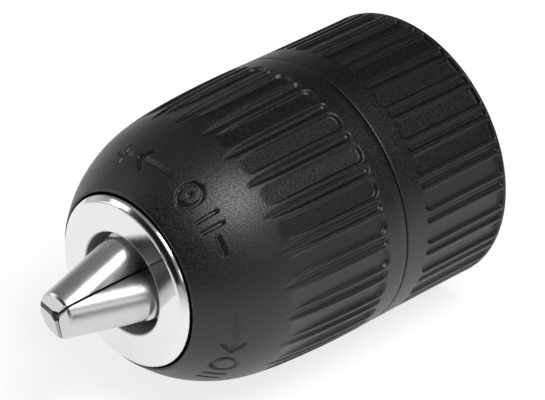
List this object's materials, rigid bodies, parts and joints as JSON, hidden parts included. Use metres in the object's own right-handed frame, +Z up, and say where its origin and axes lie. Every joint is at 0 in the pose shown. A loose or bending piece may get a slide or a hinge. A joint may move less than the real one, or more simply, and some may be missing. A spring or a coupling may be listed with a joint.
{
  "type": "drill chuck",
  "caption": "Keyless three-jaw drill chuck with a turning front sleeve, a fixed rear sleeve, a split nut on a ball thrust bearing and a threaded spindle socket.",
  "frame": {"origin": "centre of the rear face, at the mouth of the spindle thread", "axes": "chuck axis along Y with the nose pointing to -Y and the spindle thread opening to +Y; +Z up with the chuck lying on its side"},
  "size_m": [0.043, 0.0702, 0.043],
  "materials": {
    "sleeve_nylon": "fine-grained black glass-filled nylon",
    "body_steel": "turned and polished nose, plain turned inside",
    "jaw_steel": "ground, satin",
    "nut_steel": "machined, lightly oiled",
    "race_steel": "hardened and ground",
    "ball_steel": "polished bearing steel",
    "cage_brass": "stamped"
  },
  "bodies": {
    "fixed_body": {"chuck_body": "body_steel", "rear_sleeve": "sleeve_nylon", "rear_race": "race_steel"},
    "turning_sleeve": {"front_sleeve": "sleeve_nylon", "nut_half_a": "nut_steel", "nut_half_b": "nut_steel", "nut_jacket": "nut_steel", "front_race": "race_steel"},
    "jaw_1": {"jaw_1": "jaw_steel"},
    "jaw_2": {"jaw_2": "jaw_steel"},
    "jaw_3": {"jaw_3": "jaw_steel"},
    "bearing_cage": {"ball_cage": "cage_brass", "bearing_ball_01": "ball_steel", "bearing_ball_02": "ball_steel", "bearing_ball_03": "ball_steel", "bearing_ball_04": "ball_steel", "bearing_ball_05": "ball_steel", "bearing_ball_06": "ball_steel", "bearing_ball_07": "ball_steel", "bearing_ball_08": "ball_steel", "bearing_ball_09": "ball_steel", "bearing_ball_10": "ball_steel", "bearing_ball_11": "ball_steel", "bearing_ball_12": "ball_steel", "bearing_ball_13": "ball_steel", "bearing_ball_14": "ball_steel", "bearing_ball_15": "ball_steel", "bearing_ball_16": "ball_steel", "bearing_ball_17": "ball_steel", "bearing_ball_18": "ball_steel", "bearing_ball_19": "ball_steel", "bearing_ball_20": "ball_steel", "bearing_ball_21": "ball_steel", "bearing_ball_22": "ball_steel", "bearing_ball_23": "ball_steel", "bearing_ball_24": "ball_steel"}
  },
  "joints": [
    {"name": "sleeve_turn", "type": "hinge", "parent": "fixed_body", "child": "turning_sleeve", "pos_m": [0, -0.0369, 0], "axis": [0, -1, 0], "range_deg": [0, 4668.7]},
    {"name": "jaw_1_slide", "type": "slide", "parent": "fixed_body", "child": "jaw_1", "axis": [-0.0778, 0.9613, 0.2644], "range_m": [0, 0.0216]},
    {"name": "jaw_2_slide", "type": "slide", "parent": "fixed_body", "child": "jaw_2", "axis": [0.2679, 0.9613, -0.0648], "range_m": [0, 0.0216]},
    {"name": "jaw_3_slide", "type": "slide", "parent": "fixed_body", "child": "jaw_3", "axis": [-0.1901, 0.9613, -0.1996], "range_m": [0, 0.0216]},
    {"name": "cage_turn", "type": "hinge", "parent": "fixed_body", "child": "bearing_cage", "pos_m": [0, -0.0303, 0], "axis": [0, -1, 0], "range_deg": [0, 2335.3]}
  ],
  "couplings": [
    {"joint": "jaw_1_slide", "follows": "sleeve_turn", "m_per_rad": 0.00026491},
    {"joint": "jaw_2_slide", "follows": "sleeve_turn", "m_per_rad": 0.00026491},
    {"joint": "jaw_3_slide", "follows": "sleeve_turn", "m_per_rad": 0.00026491},
    {"joint": "cage_turn", "follows": "sleeve_turn", "ratio": 0.5}
  ]
}
